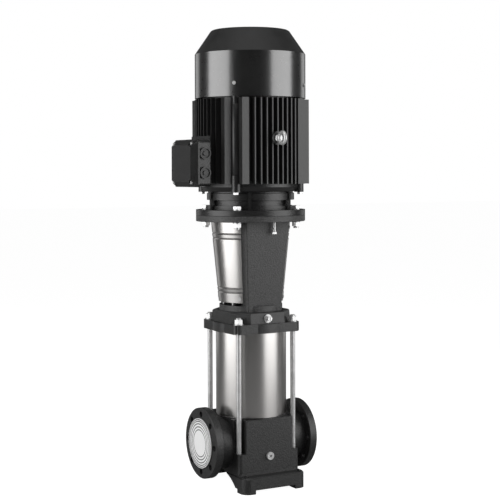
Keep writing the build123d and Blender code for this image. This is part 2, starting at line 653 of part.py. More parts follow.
def motor_stool():
    stool = rod(STOOL_RING_R, STOOL_BOTTOM_Z, STOOL_BOTTOM_Z + STOOL_RING)
    wall = stool_wall()
    stool += wall + mirror(wall, about=Plane.XZ) + guard_landings()
    flange = rod(MOTOR_FLANGE_OD / 2, STOOL_FLANGE_Z, PLATE_Z)
    stool += chamfer(flange.edges().filter_by(GeomType.CIRCLE), 1.5)
    stool -= rod(SEAL_BORE / 2 + 14, STOOL_BOTTOM_Z - 1, STOOL_BOTTOM_Z + STOOL_RING + 1)
    stool -= rod(MOTOR_SPIGOT_OD / 2 + SEAT, PLATE_Z - MOTOR_SPIGOT - 1, PLATE_Z + 1)
    stool -= rod(STOOL_HEAD_HALF - 10, STOOL_FLANGE_Z - 1, PLATE_Z)
    for angle in DIAGONALS:
        x, y = polar(MOTOR_PCD / 2, angle)
        stool -= rod(MOTOR_HOLE / 2, STOOL_FLANGE_Z - 1, PLATE_Z + 1, x, y)
    for angle in STOOL_SCREW_ANGLES:
        x, y = polar(STOOL_SCREW_R, angle)
        stool -= rod(STOOL_SCREW / 2, STOOL_BOTTOM_Z - 1, STOOL_BOTTOM_Z + STOOL_RING + 1, x, y)
    stool -= rod(JACK_R, STOOL_FLANGE_Z - 1, STOOL_FLANGE_Z + 14, JACK_X, JACK_Y)
    for side in (-1, 1):
        stool -= guard_sheet(side)
        for height in GUARD_SCREW_HEIGHTS:
            for across in (-1, 1):
                place = guard_screw_place(side, across, height)
                stool -= place * Cylinder(GUARD_SCREW / 2, 14, align=(Align.CENTER, Align.CENTER, Align.MAX))
    return stool


def stool_screws():
    """Four socket screws that hold the stool to the pump head."""
    ring_top = STOOL_BOTTOM_Z + STOOL_RING
    screw = rod(STOOL_SCREW / 2, HEAD_TOP_Z - 20, ring_top + 1) + rod(8, ring_top, ring_top + 9)
    screw -= Pos(0, 0, ring_top + 4) * extrude(RegularPolygon(4.5, 6), amount=6)
    return group([Pos(*polar(STOOL_SCREW_R, angle), 0) * screw for angle in STOOL_SCREW_ANGLES])


def jacking_screw():
    """The screw that stands down from the stool's flange, used to lift the motor off its spigot."""
    shank = rod(JACK_R, STOOL_FLANGE_Z - 32, STOOL_FLANGE_Z + 12)
    return Pos(JACK_X, JACK_Y, 0) * (shank + hexagon(13, STOOL_FLANGE_Z - 38, 6.5))


# ---- Coupling guards ---------------------------------------------------------------------------


def guard_radius(z):
    """Outer radius of the coned guard at a height."""
    share = (z - GUARD_BOTTOM_Z) / (GUARD_TOP_Z - GUARD_BOTTOM_Z)
    return GUARD_FOOT_R + (GUARD_TOP_R - GUARD_FOOT_R) * share


def guard_screw_place(side, across, z):
    """Where a guard screw's head sits on the guard: its Z axis points out of the sheet."""
    angle = (0 if side > 0 else 180) + across * (GUARD_HALF_ANGLE - 5)
    slope = degrees(atan2(GUARD_TOP_R - GUARD_FOOT_R, GUARD_TOP_Z - GUARD_BOTTOM_Z))
    return Pos(*polar(guard_radius(z), angle), z) * Rot(0, 0, angle) * Rot(0, 90 + slope, 0)


def guard_sheet(side):
    """A coned sheet with two pairs of stiffening beads, before its holes are made."""
    outline = [(guard_radius(GUARD_BOTTOM_Z), GUARD_BOTTOM_Z)]
    for z in GUARD_BEADS_Z:
        radius = guard_radius(z)
        outline += [(radius, z - 3), (radius - GUARD_BEAD, z), (radius, z + 3)]
    outline.append((guard_radius(GUARD_TOP_Z), GUARD_TOP_Z))
    inner = [(r - GUARD_SHEET, z) for r, z in reversed(outline)]
    sheet = turned(*outline, *inner)
    far = MOTOR_FLANGE_OD
    corners = [(0, 0), polar(far, -GUARD_HALF_ANGLE), polar(far, GUARD_HALF_ANGLE)]
    wedge = make_face(Polyline(*corners, close=True))
    sheet &= prism(wedge, GUARD_BOTTOM_Z - 1, GUARD_TOP_Z - GUARD_BOTTOM_Z + 2)
    return sheet if side > 0 else Rot(0, 0, 180) * sheet


def coupling_guard(side):
    """One guard, with the holes for its screws."""
    sheet = guard_sheet(side)
    for height in GUARD_SCREW_HEIGHTS:
        for across in (-1, 1):
            sheet -= guard_screw_place(side, across, height) * Cylinder(GUARD_SCREW / 2, 12)
    return sheet


def guard_screws():
    screw = rod(GUARD_SCREW / 2, -12, 1) + rod(5.5, 0.2, 3)
    places = [
        guard_screw_place(side, across, height)
        for side in (-1, 1) for across in (-1, 1) for height in GUARD_SCREW_HEIGHTS
    ]
    return group([place * screw for place in places])


# ---- Coupling ----------------------------------------------------------------------------------
def coupling_half(side):
    """Half of the split muff: bored for the pump shaft below and the motor shaft above."""
    muff = rod(COUPLING_OD / 2, COUPLING_BOTTOM_Z, COUPLING_TOP_Z)
    muff = chamfer(muff.edges().filter_by(GeomType.CIRCLE), 2)
    muff -= rod(SHAFT_D / 2, COUPLING_BOTTOM_Z - 1, COUPLING_MIDDLE_Z + 1)
    muff -= rod(MOTOR_SHAFT_D / 2, COUPLING_MIDDLE_Z, COUPLING_TOP_Z + 1)
    for across in (-1, 1):
        muff -= block(
            *sorted((across * (COUPLING_BOLT_X - COUPLING_BOLT_HEAD - 0.5), across * COUPLING_OD)),
            COUPLING_BOLT_SEAT, COUPLING_OD, COUPLING_BOTTOM_Z + 14, COUPLING_TOP_Z - 14,
        )
    half = muff & block(-COUPLING_OD, COUPLING_OD, COUPLING_SPLIT / 2, COUPLING_OD, 0, COUPLING_TOP_Z + 1)
    for x, z in coupling_bolt_places():
        half -= along_y(COUPLING_BOLT / 2, -COUPLING_OD, COUPLING_OD, x=x, z=z)
    return half if side > 0 else Rot(0, 0, 180) * half


def coupling_bolt_places():
    """(x, z) of each clamping bolt; the bolts lie along Y."""
    heights = (COUPLING_BOTTOM_Z + 34, COUPLING_TOP_Z - 34)
    return [(sx * COUPLING_BOLT_X, z) for sx in (-1, 1) for z in heights]


def coupling_bolts():
    seat = COUPLING_BOLT_SEAT
    bolts = []
    for x, z in coupling_bolt_places():
        bolts.append(along_y(COUPLING_BOLT / 2, -seat - 1, seat + 1, x=x, z=z)
                     + along_y(COUPLING_BOLT_HEAD, -seat - 9, -seat, x=x, z=z)
                     + along_y(COUPLING_BOLT_HEAD, seat, seat + 7, x=x, z=z))
    return group(bolts)


# ---- Motor shields and bolts -------------------------------------------------------------------


def drive_end_shield():
    """The flanged shield: mounting disc, waisted neck with ribs, and the bowl that the frame sits on."""
    bore = BEARING_OD / 2
    shield = turned(
        (0, PLATE_Z - MOTOR_SPIGOT), (MOTOR_SPIGOT_OD / 2, PLATE_Z - MOTOR_SPIGOT), (MOTOR_SPIGOT_OD / 2, PLATE_Z),
        (MOTOR_FLANGE_OD / 2, PLATE_Z), (MOTOR_FLANGE_OD / 2, SHIELD_FACE_Z), (134, SHIELD_FACE_Z),
        (134, SHIELD_FACE_Z + 13), (126, SHIELD_FACE_Z + 13), (126, SHIELD_FACE_Z + 30), (140, SHIELD_FACE_Z + 31),
        (140, SHIELD_FACE_Z + 52), (136, SHIELD_FACE_Z + 54), (136, SHIELD_FACE_Z + 57), (152, SHIELD_FACE_Z + 59),
        (160, SHIELD_FACE_Z + 72), (160, FRAME_BOTTOM_Z), (FRAME_BORE / 2 - SEAT, FRAME_BOTTOM_Z),
        (FRAME_BORE / 2 - SEAT, FRAME_BOTTOM_Z + 6), (FRAME_BORE / 2 - 12, FRAME_BOTTOM_Z + 6),
        (118, SHIELD_FACE_Z + 36), (bore + 12, SHIELD_FACE_Z + 36), (bore + 12, SHIELD_FACE_Z + 66),
        (0, SHIELD_FACE_Z + 66),
    )
    for k in range(SHIELD_RIBS):
        rib = block(120, 145, -5, 5, SHIELD_FACE_Z - 1, SHIELD_FACE_Z + 56)
        shield += Rot(0, 0, 360.0 / SHIELD_RIBS * k) * rib
    for angle in DIAGONALS:
        x, y = polar(SHIELD_LUG_R, angle)
        shield += rod(15, FRAME_BOTTOM_Z - 26, FRAME_BOTTOM_Z, x, y)
    shield -= rod(MOTOR_SHAFT_D / 2 + TURNING_GAP, PLATE_Z - 20, FRAME_BOTTOM_Z + 20)
    shield -= rod(bore, FRONT_BEARING_Z, FRAME_BOTTOM_Z + 20)
    for angle in DIAGONALS:
        x, y = polar(MOTOR_PCD / 2, angle)
        shield -= rod(MOTOR_HOLE / 2, PLATE_Z - 1, SHIELD_FACE_Z + 1, x, y)
        x, y = polar(SHIELD_LUG_R + 3, angle)
        shield -= rod(5, FRAME_BOTTOM_Z - 30, FRAME_BOTTOM_Z + 1, x, y)
    return shield


def flange_bolts():
    """Hex bolts through the motor flange, heads up."""
    bolt = hexagon(24, SHIELD_FACE_Z + 3, 10) + rod(MOTOR_BOLT / 2, STOOL_FLANGE_Z - 22, SHIELD_FACE_Z + 4)
    return group([Pos(*polar(MOTOR_PCD / 2, angle), 0) * bolt for angle in DIAGONALS])


def flange_nuts():
    nut = hexagon(24, STOOL_FLANGE_Z - 16, 13) - rod(MOTOR_BOLT / 2, STOOL_FLANGE_Z - 40, STOOL_FLANGE_Z)
    return group([Pos(*polar(MOTOR_PCD / 2, angle), 0) * nut for angle in DIAGONALS])


def flange_washers():
    pair = ring(FLANGE_WASHER_R, MOTOR_BOLT / 2, SHIELD_FACE_Z, SHIELD_FACE_Z + 3)
    low = ring(FLANGE_WASHER_R, MOTOR_BOLT / 2, STOOL_FLANGE_Z - 3, STOOL_FLANGE_Z)
    places = [Pos(*polar(MOTOR_PCD / 2, angle), 0) for angle in DIAGONALS]
    return group([place * pair for place in places] + [place * low for place in places])


def shield_bolts():
    """The hex bolts that hold each shield to the frame's lugs, four at each end."""
    low = hexagon(16, FRAME_BOTTOM_Z - 33, 7) + rod(5, FRAME_BOTTOM_Z - 27, FRAME_BOTTOM_Z + 14)
    top = REAR_SHIELD_Z + 9
    high = hexagon(13, top, 6) + rod(4, top - 22, top + 1)
    places = [Pos(*polar(SHIELD_LUG_R + 3, angle), 0) for angle in DIAGONALS]
    return group([place * low for place in places] + [place * high for place in places])


# ---- Motor frame -------------------------------------------------------------------------------
def fin_height(across):
    """How far out a fin's tip stands, for its distance from the middle of its side."""
    return (FIN_TIP_R**2 - across**2) ** 0.5


def side_fins():
    """The parallel fins of the side that faces -Y, as one flat outline."""
    outline = None
    for k in range(FINS_PER_SIDE):
        across = (k - (FINS_PER_SIDE - 1) / 2) * FIN_PITCH
        root = (FRAME_OD**2 / 4 - across**2) ** 0.5 - 3
        tip = fin_height(across)
        fin = Pos(across, -(root + tip) / 2) * Rectangle(FIN_THICK, tip - root)
        outline = fin if outline is None else outline + fin
    return outline


def corner_pads():
    """Both pads of one corner: one faces -Y and one faces -X."""
    low = Pos(-PAD_AT, -(PAD_FACE + 80) / 2) * Rectangle(2 * PAD_HALF, PAD_FACE - 80)
    side = Pos(-(PAD_FACE + 80) / 2, -PAD_AT) * Rectangle(PAD_FACE - 80, 2 * PAD_HALF)
    return low + side


def motor_frame():
    height = FRAME_TOP_Z - FRAME_BOTTOM_Z
    outline = Circle(FRAME_OD / 2)
    for quarter in range(4):
        outline += Rot(0, 0, 90 * quarter) * side_fins()
        outline += Rot(0, 0, 90 * quarter) * corner_pads()
    frame = prism(outline - Circle(FRAME_BORE / 2), FRAME_BOTTOM_Z, height)
    for angle in DIAGONALS:
        x, y = polar(SHIELD_LUG_R + 1, angle)
        frame += rod(16, FRAME_BOTTOM_Z, FRAME_BOTTOM_Z + 26, x, y)
        frame += rod(13, FRAME_TOP_Z - 22, FRAME_TOP_Z, x, y)
    frame += ring(FRAME_OD / 2 + 9, FRAME_BORE / 2, FRAME_BOTTOM_Z, FRAME_BOTTOM_Z + 8)
    # the pad that the terminal box stands on, and the boss for the lifting eye
    pad_x = -FIN_TIP_R - 4
    frame += block(pad_x, -FRAME_OD / 2 + 40, -BOX_WIDTH / 2 + BOX_PAD_INSET, BOX_WIDTH / 2 - BOX_PAD_INSET,
                   max(BOX_BOTTOM_Z, FRAME_BOTTOM_Z) + 4, BOX_BOTTOM_Z + BOX_HEIGHT + 14)
    frame += along_y(21, -FIN_TIP_R - 1, -FRAME_OD / 2 + 10, z=EYE_Z)
    frame -= block(pad_x - 1, 0, -35, 35, BOX_MIDDLE_Z - 30, BOX_MIDDLE_Z + 30)
    frame -= rod(FRAME_BORE / 2, FRAME_BOTTOM_Z - 1, FRAME_TOP_Z + 1)
    frame -= along_y(5, -FIN_TIP_R - 2, -FRAME_OD / 2 + 8, z=EYE_Z)
    for angle in DIAGONALS:
        x, y = polar(SHIELD_LUG_R + 3, angle)
        frame -= rod(5, FRAME_BOTTOM_Z - 1, FRAME_BOTTOM_Z + 18, x, y)
        frame -= rod(4, FRAME_TOP_Z - 16, FRAME_TOP_Z + 1, x, y)
    return frame


def lifting_eye():
    """The forged eye, screwed into its boss; the ring stands in the YZ plane."""
    seat = -FIN_TIP_R - 1
    ring_y = seat - 7 - EYE_RING_R
    eye = Pos(0, ring_y, EYE_Z) * Rot(0, 90, 0) * Torus(EYE_RING_R, EYE_WIRE / 2)
    collar = along_y(12, seat - 5, seat, z=EYE_Z) + along_y(7, seat - 9, seat - 4, z=EYE_Z)
    return eye + collar + along_y(5, seat - 1, seat + 18, z=EYE_Z)


def stator_core():
    core = ring(FRAME_BORE / 2, ROTOR_OD / 2 + TURNING_GAP, CORE_BOTTOM_Z, CORE_TOP_Z)
    inner = ROTOR_OD / 2 + TURNING_GAP
    slot = block(inner - 1, inner + 22.5, -3.5, 3.5, CORE_BOTTOM_Z - 1, CORE_TOP_Z + 1)
    for cut in around(slot, 24):
        core -= cut
    return core


def stator_windings():
    """The end windings below and above the core."""
    inner, outer = ROTOR_OD / 2 + 6, ROTOR_OD / 2 + 28
    return group([
        turned((inner, CORE_BOTTOM_Z - 26), (outer - 4, CORE_BOTTOM_Z - 26), (outer, CORE_BOTTOM_Z - 22),
               (outer, CORE_BOTTOM_Z), (inner, CORE_BOTTOM_Z)),
        turned((inner, CORE_TOP_Z), (outer, CORE_TOP_Z), (outer, CORE_TOP_Z + 22), (outer - 4, CORE_TOP_Z + 26),
               (inner, CORE_TOP_Z + 26)),
    ])


def rotor_core():
    core = ring(ROTOR_OD / 2, BEARING_ID / 2 + 3, CORE_BOTTOM_Z, CORE_TOP_Z)
    rings = ring(ROTOR_OD / 2 - 2, ROTOR_OD / 2 - 26, CORE_BOTTOM_Z - 12, CORE_TOP_Z + 12)
    return core + rings


def motor_shaft():
    """The stepped shaft: coupling end, bearing seats, core and fan end."""
    upper_seat = REAR_BEARING_Z + BEARING_WIDTH
    return (
        rod(MOTOR_SHAFT_D / 2, COUPLING_MIDDLE_Z + 4, FRONT_BEARING_Z + 1)
        + rod(BEARING_ID / 2, FRONT_BEARING_Z, upper_seat)
        + rod(BEARING_ID / 2 + 3, FRONT_BEARING_Z + BEARING_WIDTH, REAR_BEARING_Z)
        + rod(FAN_SEAT_R, upper_seat - 1, FAN_Z + 34)
    )


def bearing_outer(bottom):
    """The fixed ring of a ball bearing."""
    race = ring(BEARING_OD / 2, BEARING_OD / 2 - 9, bottom, bottom + BEARING_WIDTH)
    return race - Pos(0, 0, bottom + BEARING_WIDTH / 2) * Torus(BALL_CIRCLE_R, BALL_R)


def bearing_inner(bottom):
    """The turning ring of a ball bearing."""
    race = ring(BEARING_ID / 2 + 9, BEARING_ID / 2, bottom, bottom + BEARING_WIDTH)
    return race - Pos(0, 0, bottom + BEARING_WIDTH / 2) * Torus(BALL_CIRCLE_R, BALL_R)


def bearing_balls(bottom):
    ball = Pos(BALL_CIRCLE_R, 0, bottom + BEARING_WIDTH / 2) * Sphere(BALL_R - RUNNING)
    return around(ball, BALLS)


def fan_end_shield():
    """The shield that closes the top of the frame and holds the upper bearing."""
    z = REAR_SHIELD_Z
    bore = BEARING_OD / 2
    shield = turned(
        (bore, z - 4), (bore + 12, z - 4), (bore + 14, z), (FRAME_BORE / 2 - 10, z), (FRAME_BORE / 2 - 10, z - 6),
        (FRAME_BORE / 2 - SEAT, z - 6), (FRAME_BORE / 2 - SEAT, z), (FRAME_OD / 2, z), (FRAME_OD / 2, z + 8),
        (bore + 16, z + 14), (bore + 14, z + 34), (MOTOR_SHAFT_D / 2, z + 34), (MOTOR_SHAFT_D / 2, z + 28),
        (bore, z + 28),
    )
    for angle in DIAGONALS:
        x, y = polar(SHIELD_LUG_R, angle)
        shield += rod(14, z, z + 9, x, y)
    for angle in DIAGONALS:
        x, y = polar(SHIELD_LUG_R + 3, angle)
        shield -= rod(4, z - 1, z + 10, x, y)
    return shield


# ---- Fan and cowl ------------------------------------------------------------------------------
def fan():
    hub = ring(34, FAN_SEAT_R, FAN_Z, FAN_Z + 32)
    disc = ring(FAN_OD / 2 - 14, 30, FAN_Z, FAN_Z + 4)
    wheel = hub + disc
    blade = block(33, FAN_OD / 2, -2, 2, FAN_Z + 1, FAN_Z + 48)
    for piece in around(blade, FAN_BLADES):
        wheel += piece
    return wheel


def cowl_profile(inset):
    """The cowl's outer line, moved in by a sheet thickness, as (radius, z) corners from the bottom up."""
    outer = COWL_OD / 2 - inset
    return [
        (outer, COWL_BOTTOM_Z), (outer, COWL_SHOULDER_Z), (COWL_TOP_R + 3 - inset, COWL_TOP_Z - 3 - inset / 2),
        (COWL_TOP_R - 2 - inset, COWL_TOP_Z - inset), (0, COWL_TOP_Z + 4 - inset),
    ]


def fan_cover():
    """The pressed cowl with ring-shaped air slots in its top."""
    outer, inner = cowl_profile(0), cowl_profile(COWL_SHEET)
    cowl = turned(*outer, *reversed(inner))
    bar = 9.0
    pitch = (COWL_TOP_R - 24) / COWL_GRILLE_RINGS
    for k in range(COWL_GRILLE_RINGS):
        low = 20 + k * pitch
        slot = ring(low + pitch - 5, low, COWL_TOP_Z - 10, COWL_TOP_Z + 10)
        for spoke in range(4):
            slot -= Rot(0, 0, 45 * spoke) * block(-COWL_OD, COWL_OD, -bar / 2, bar / 2, 0, COWL_TOP_Z + 20)
        cowl -= slot
    for angle in DIAGONALS:
        x, y = polar(COWL_OD / 2, angle)
        place = Pos(x, y, COWL_SCREW_Z) * Rot(0, 0, angle) * Rot(0, 90, 0)
        cowl -= place * Cylinder(3.5, 12)
    return cowl


def cowl_brackets():
    """Four angle brackets that stand on the upper shield and carry the cowl."""
    bracket = block(SHIELD_LUG_R - 12, SHIELD_LUG_R + 6, -9, 9, REAR_SHIELD_Z + 15, REAR_SHIELD_Z + 18)
    inner = COWL_OD / 2 - COWL_SHEET - SEAT
    bracket += block(inner - 3.5, inner - 0.5, -9, 9, REAR_SHIELD_Z + 15, COWL_SCREW_Z + 12)
    bracket += block(SHIELD_LUG_R + 5, inner - 1, -9, 9, REAR_SHIELD_Z + 15, REAR_SHIELD_Z + 18)
    bracket -= along_x(3, inner - 20, COWL_OD, z=COWL_SCREW_Z)
    return group(around(bracket, 4, 45))


def cowl_screws():
    face = COWL_OD / 2
    screw = along_x(3, face - 12, face + 1, z=COWL_SCREW_Z) + along_x(5.5, face, face + 3, z=COWL_SCREW_Z)
    screw -= block(face + 1.5, face + 4, -0.7, 0.7, COWL_SCREW_Z - 4, COWL_SCREW_Z + 4)
    return group(around(screw, 4, 45))


# ---- Terminal box ------------------------------------------------------------------------------
def terminal_box():
    """The box body: an open frame on the motor's pad, with two entries on the side that faces -Y."""
    x1 = -FIN_TIP_R - 4
    half = BOX_WIDTH / 2
    body = block(BOX_FACE_X, x1, -half, half, BOX_BOTTOM_Z, BOX_BOTTOM_Z + BOX_HEIGHT)
    body = fillet(body.edges().filter_by(Axis.X), 10)
    body -= block(BOX_FACE_X - 1, x1 - 5, -half + BOX_WALL, half - BOX_WALL, BOX_BOTTOM_Z + BOX_WALL,
                  BOX_BOTTOM_Z + BOX_HEIGHT - BOX_WALL)
    body -= block(x1 - 6, x1 + 1, -30, 30, BOX_MIDDLE_Z - 25, BOX_MIDDLE_Z + 25)
    for z in gland_heights():
        body -= along_y(GLAND_D / 2 - 5, -half - 1, -half + 12, x=GLAND_X, z=z)
    for y, z in lid_screw_places():
        body += along_x(7, BOX_FACE_X, BOX_FACE_X + 22, y=y, z=z)
        body -= along_x(2.5, BOX_FACE_X - 1, BOX_FACE_X + 16, y=y, z=z)
    return body


def gland_heights():
    return BOX_MIDDLE_Z - GLAND_PITCH / 2, BOX_MIDDLE_Z + GLAND_PITCH / 2


def lid_screw_places():
    """(y, z) of the four lid screws."""
    across, up = BOX_WIDTH / 2 - 11, BOX_HEIGHT / 2 - 11
    return [(sy * across, BOX_MIDDLE_Z + sz * up) for sy, sz in CORNERS]


def terminal_gasket():
    half, tall = BOX_WIDTH, BOX_HEIGHT
    plane = Plane((BOX_FACE_X, 0, BOX_MIDDLE_Z), x_dir=(0, 1, 0), z_dir=(-1, 0, 0))
    sheet = extrude(plane * (RectangleRounded(half, tall, 10) - Rectangle(half - 40, tall - 40)), amount=1.5)
    for y, z in lid_screw_places():
        sheet -= along_x(2.6, BOX_FACE_X - 3, BOX_FACE_X + 1, y=y, z=z)
    return sheet


def terminal_lid():
    """The lid: a lip, bevelled sides, a raised flat face, and corners stepped down for the screws."""
    plane = Plane((LID_X, 0, BOX_MIDDLE_Z), x_dir=(0, 1, 0), z_dir=(-1, 0, 0))
    wide, tall = BOX_WIDTH + 2 * LID_OVERHANG_Y, BOX_HEIGHT + 2 * LID_OVERHANG_Z
    lip = extrude(plane * RectangleRounded(wide, tall, 11), amount=5)
    crown = loft([
        plane.offset(4) * RectangleRounded(wide - 4, tall - 4, 9),
        plane.offset(LID_DEPTH) * RectangleRounded(wide - 34, tall - 34, 6),
    ])
    lid = lip + crown
    lid -= loft([
        plane.offset(-1) * Rectangle(BOX_WIDTH - 8, BOX_HEIGHT - 8),
        plane.offset(LID_DEPTH - 4) * Rectangle(BOX_WIDTH - 44, BOX_HEIGHT - 44),
    ]) & (block(LID_X - LID_DEPTH, LID_X + 2, -BOX_WIDTH, BOX_WIDTH, BOX_BOTTOM_Z - 9, FRAME_TOP_Z))
    for y, z in lid_screw_places():
        lid += along_x(8, LID_X - 16, LID_X, y=y, z=z)
        lid -= along_x(8.5, LID_X - 60, LID_X - 16, y=y, z=z)
        lid -= along_x(3, LID_X - 60, LID_X + 1, y=y, z=z)
    return lid


def lid_screws():
    screws = []
    for y, z in lid_screw_places():
        screw = along_x(2.5, LID_X - 17, BOX_FACE_X + 14, y=y, z=z)
        screws.append(screw + along_x(5, LID_X - 20, LID_X - 16, y=y, z=z))
    return group(screws)


def terminal_block():
    """The six-stud terminal board on the floor of the box."""
    floor = -FIN_TIP_R - 9
    board = block(floor - 12, floor, -32, 32, BOX_MIDDLE_Z - 58, BOX_MIDDLE_Z - 26)
    for row in (-1, 1):
        for k in (-1, 0, 1):
            board += along_x(3, floor - 26, floor - 11, y=20 * k, z=BOX_MIDDLE_Z - 42 + row * 9)
    return board


def cable_plugs():
    """The two blanking plugs in the cable entries."""
    face = -BOX_WIDTH / 2
    plugs = []
    for z in gland_heights():
        plug = along_y(GLAND_D / 2, face - 9, face, x=GLAND_X, z=z)
        plug += along_y(GLAND_D / 2 - 5, face - 1, face + 9, x=GLAND_X, z=z)
        plug -= along_y(GLAND_D / 2 - 4, face - 10, face - 5, x=GLAND_X, z=z)
        plug += Pos(GLAND_X, face - 4, z) * Rot(90, 0, 0) * extrude(RegularPolygon(8, 6), amount=5)
        plugs.append(plug)
    return group(plugs)


# ---- Write every node --------------------------------------------------------------------------
def numbered_stages():
    """The nodes that each stage repeats."""
    made = {}
    for k in range(STAGES):
        bottom = STACK_BOTTOM_Z + k * STAGE_PITCH
        made[f"stage_chamber_{k + 1}"] = stage_chamber(bottom)
        made[f"impeller_{k + 1}"] = impeller(bottom)
    return made


def all_nodes():
    stage_bottoms = [STACK_BOTTOM_Z + k * STAGE_PITCH for k in range(STAGES)]
    nodes = {
        "base_casting": base_casting(),
        "drain_plug": drain_plug(),
        "suction_port_cover": suction_cover(),
        "outer_sleeve": outer_sleeve(),
        "sleeve_seals": group([sleeve_oring(BODY_TOP_Z - SLEEVE_GROOVE), sleeve_oring(SLEEVE_TOP_Z)]),
        "tie_rods": tie_rods(),
        "tie_rod_washers": tie_rod_washers(),
        "tie_rod_nuts": tie_rod_nuts(),
        "pump_head": pump_head(),
        "priming_plug": priming_plug(),
        "vent_screw": vent_screw(),
        "suction_guide": suction_guide(),
        "wear_rings": group([lower_bush()] + [neck_ring(bottom) for bottom in stage_bottoms]),
        "impeller_spacers": impeller_spacers(),
        "discharge_cup": discharge_cup(),
        "stack_straps": stack_straps(),
        "pump_shaft": pump_shaft(),
        "seal_gland": seal_gland(),
        "seal_sleeve": seal_sleeve(),
        "motor_stool": motor_stool(),
        "stool_screws": stool_screws(),
        "jacking_screw": jacking_screw(),
        "coupling_guard_left": coupling_guard(-1),
        "coupling_guard_right": coupling_guard(1),
        "guard_screws": guard_screws(),
        "coupling_half_front": coupling_half(-1),
        "coupling_half_rear": coupling_half(1),
        "coupling_bolts": coupling_bolts(),
        "drive_end_shield": drive_end_shield(),
        "flange_bolts": flange_bolts(),
        "flange_nuts": flange_nuts(),
        "flange_washers": flange_washers(),
        "shield_bolts": shield_bolts(),
        "motor_frame": motor_frame(),
        "lifting_eye": lifting_eye(),
        "stator_core": stator_core(),
        "stator_windings": stator_windings(),
        "rotor_core": rotor_core(),
        "motor_shaft": motor_shaft(),
        "bearing_outer_rings": group([bearing_outer(FRONT_BEARING_Z), bearing_outer(REAR_BEARING_Z)]),
        "bearing_inner_rings": group([bearing_inner(FRONT_BEARING_Z), bearing_inner(REAR_BEARING_Z)]),
        "bearing_balls": group(bearing_balls(FRONT_BEARING_Z) + bearing_balls(REAR_BEARING_Z)),
        "fan_end_shield": fan_end_shield(),
        "cooling_fan": fan(),
        "fan_cover": fan_cover(),
        "cowl_brackets": cowl_brackets(),
        "cowl_screws": cowl_screws(),
        "terminal_box": terminal_box(),
        "terminal_gasket": terminal_gasket(),
        "terminal_lid": terminal_lid(),
        "lid_screws": lid_screws(),
        "terminal_board": terminal_block(),
        "cable_plugs": cable_plugs(),
    }
    nodes.update(numbered_stages())
    return nodes


os.makedirs("parts", exist_ok=True)
for name, shape in all_nodes().items():
    export_step(shape, f"parts/{name}.step")
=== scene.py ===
"""Looks for the vertical multistage pump: materials, corner bars, a pale studio and the camera."""

import json
import math

import bmesh
import bpy
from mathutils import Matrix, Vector


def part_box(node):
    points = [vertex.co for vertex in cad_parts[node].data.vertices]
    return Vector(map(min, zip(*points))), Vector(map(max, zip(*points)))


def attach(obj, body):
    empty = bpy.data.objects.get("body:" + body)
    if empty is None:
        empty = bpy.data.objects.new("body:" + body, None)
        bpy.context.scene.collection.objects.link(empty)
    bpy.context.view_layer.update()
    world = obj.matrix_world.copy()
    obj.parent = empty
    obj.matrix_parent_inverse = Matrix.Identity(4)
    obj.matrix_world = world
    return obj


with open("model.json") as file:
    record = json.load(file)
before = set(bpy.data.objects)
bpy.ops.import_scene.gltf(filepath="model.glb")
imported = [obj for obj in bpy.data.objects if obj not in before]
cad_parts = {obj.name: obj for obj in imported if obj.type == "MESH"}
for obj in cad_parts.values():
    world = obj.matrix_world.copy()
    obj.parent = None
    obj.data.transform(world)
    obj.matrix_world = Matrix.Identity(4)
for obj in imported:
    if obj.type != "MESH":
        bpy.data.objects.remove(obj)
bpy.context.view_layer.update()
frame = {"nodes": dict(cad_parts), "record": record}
NODES = frame["nodes"]

# ---- Camera, studio and corner bars, in metres and degrees -------------------------------------
CAMERA_AZIMUTH = -28.92
CAMERA_DISTANCE = 4.0086
CAMERA_HEIGHT = 0.989
CAMERA_ROLL = 0.19
LENS = 89.86
SENSOR = 36.0
SHIFT_X = -0.0008
SHIFT_Y = -0.1545
FLOOR_HALF = 30.0
FLOOR_GLOW = 0.97
ROOM_LEVEL = 0.05
FLOOR_SHADES = (0.27, 0.29)  # albedo, low so that little light comes back up from the floor
CONE_HEIGHT = 0.0795  # the coned top of the fan cover, down to its shoulder
AIM = (0, 0, 0.75)  # the point that every lamp faces
BAR_RADIUS = 0.0155
BAR_CENTRE = 0.160  # from the motor's axis to the middle of each corner bar
BAR_BOTTOM = 0.976
BAR_TOP = 1.204
BAR_ROUNDING = 0.004
BAR_SIDES = 32
WELD = 1e-5

# ---- Lamps: name, angle from the camera, distance, height, face, watts --------------------------
LAMPS = (
    ("left box", -67, 2.6, 1.0, (2.4, 2.8), 72),
    ("right box", 67, 2.6, 1.0, (2.3, 2.8), 66),
    ("top box", 0, 0.6, 3.4, (2.2, 2.2), 24),
    ("front fill", 0, 3.4, 1.6, (1.6, 1.6), 26),
    ("back left box", -140, 3.0, 1.2, (1.2, 2.6), 7),
    ("back right box", 140, 3.0, 1.2, (1.2, 2.6), 7),
)
UNREFLECTED = ("front fill",)  # lamps that light paint but aren't mirrored in bright metal


# ---- Node-tree helpers -------------------------------------------------------------------------
def new_material(name, colour, metallic, roughness):
    """A Principled material with its plain values set on the shader's own sockets."""
    material = bpy.data.materials.new(name)
    material.use_nodes = True
    shader = material.node_tree.nodes["Principled BSDF"]
    shader.inputs["Base Color"].default_value = (*colour, 1)
    shader.inputs["Metallic"].default_value = metallic
    shader.inputs["Roughness"].default_value = roughness
    return material, shader


def add(material, kind, **settings):
    """A new node, with its properties set."""
    node = material.node_tree.nodes.new(kind)
    for key, value in settings.items():
        setattr(node, key, value)
    return node


def link(material, source, target):
    material.node_tree.links.new(source, target)


def stretched_coordinates(material, scale):
    """Object coordinates, scaled apart along each axis."""
    place = add(material, "ShaderNodeTexCoord")
    mapping = add(material, "ShaderNodeMapping")
    mapping.inputs["Scale"].default_value = scale
    link(material, place.outputs["Object"], mapping.inputs["Vector"])
    return mapping.outputs["Vector"]


